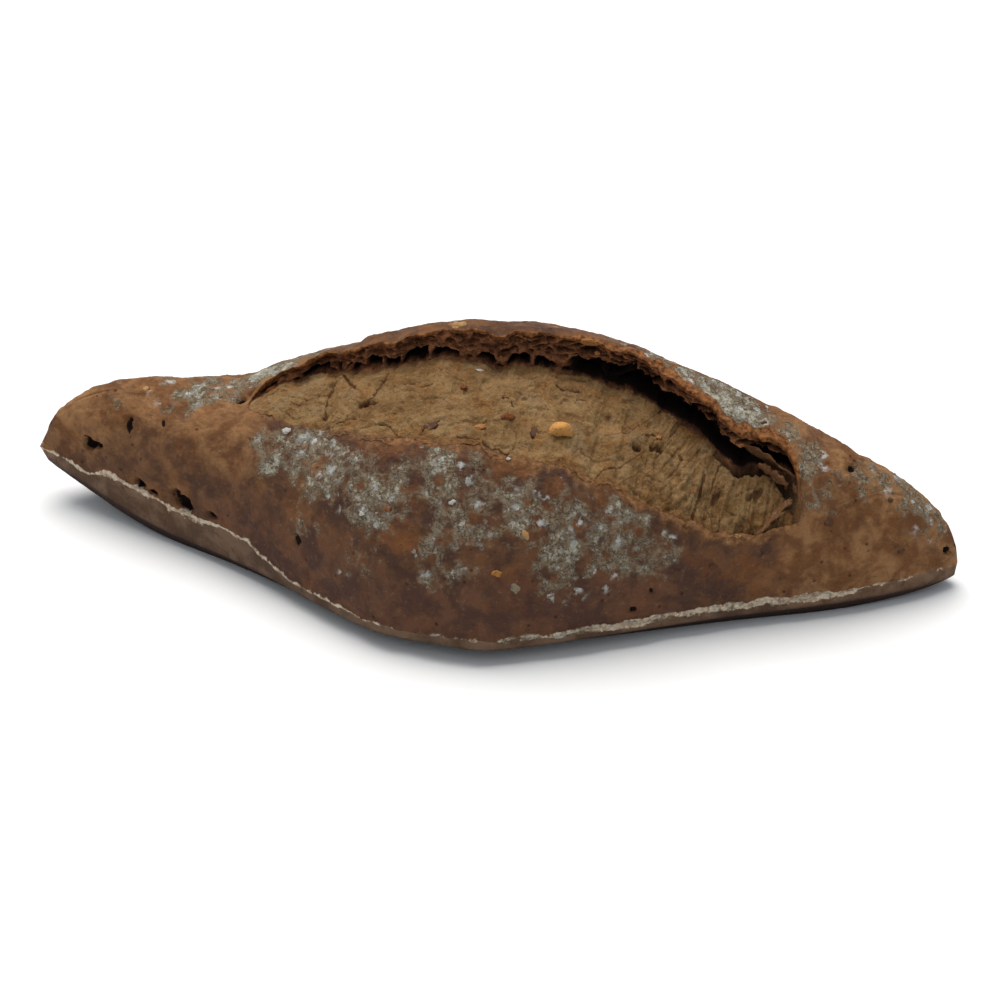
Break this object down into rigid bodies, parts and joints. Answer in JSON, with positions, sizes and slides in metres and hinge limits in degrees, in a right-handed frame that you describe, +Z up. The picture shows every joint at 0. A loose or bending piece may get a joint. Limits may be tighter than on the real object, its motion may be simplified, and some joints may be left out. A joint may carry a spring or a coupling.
{
  "type": "multigrain roll",
  "caption": "Diamond-shaped dark multigrain bread roll with one long slash that opened to the crumb, a raised ear behind it, floury crust and a flat base.",
  "frame": {"origin": "middle of the flat base, under the centre of the roll's box", "axes": "+X along the roll from the left tip to the right tip, +Y towards the back behind the ear, +Z up from the base"},
  "size_m": [0.15, 0.0778, 0.0405],
  "materials": {
    "crust": "matt baked crust, brown, with flour dusted on it in patches"
  },
  "bodies": {
    "root": {"roll": "crust"}
  },
  "joints": []
}
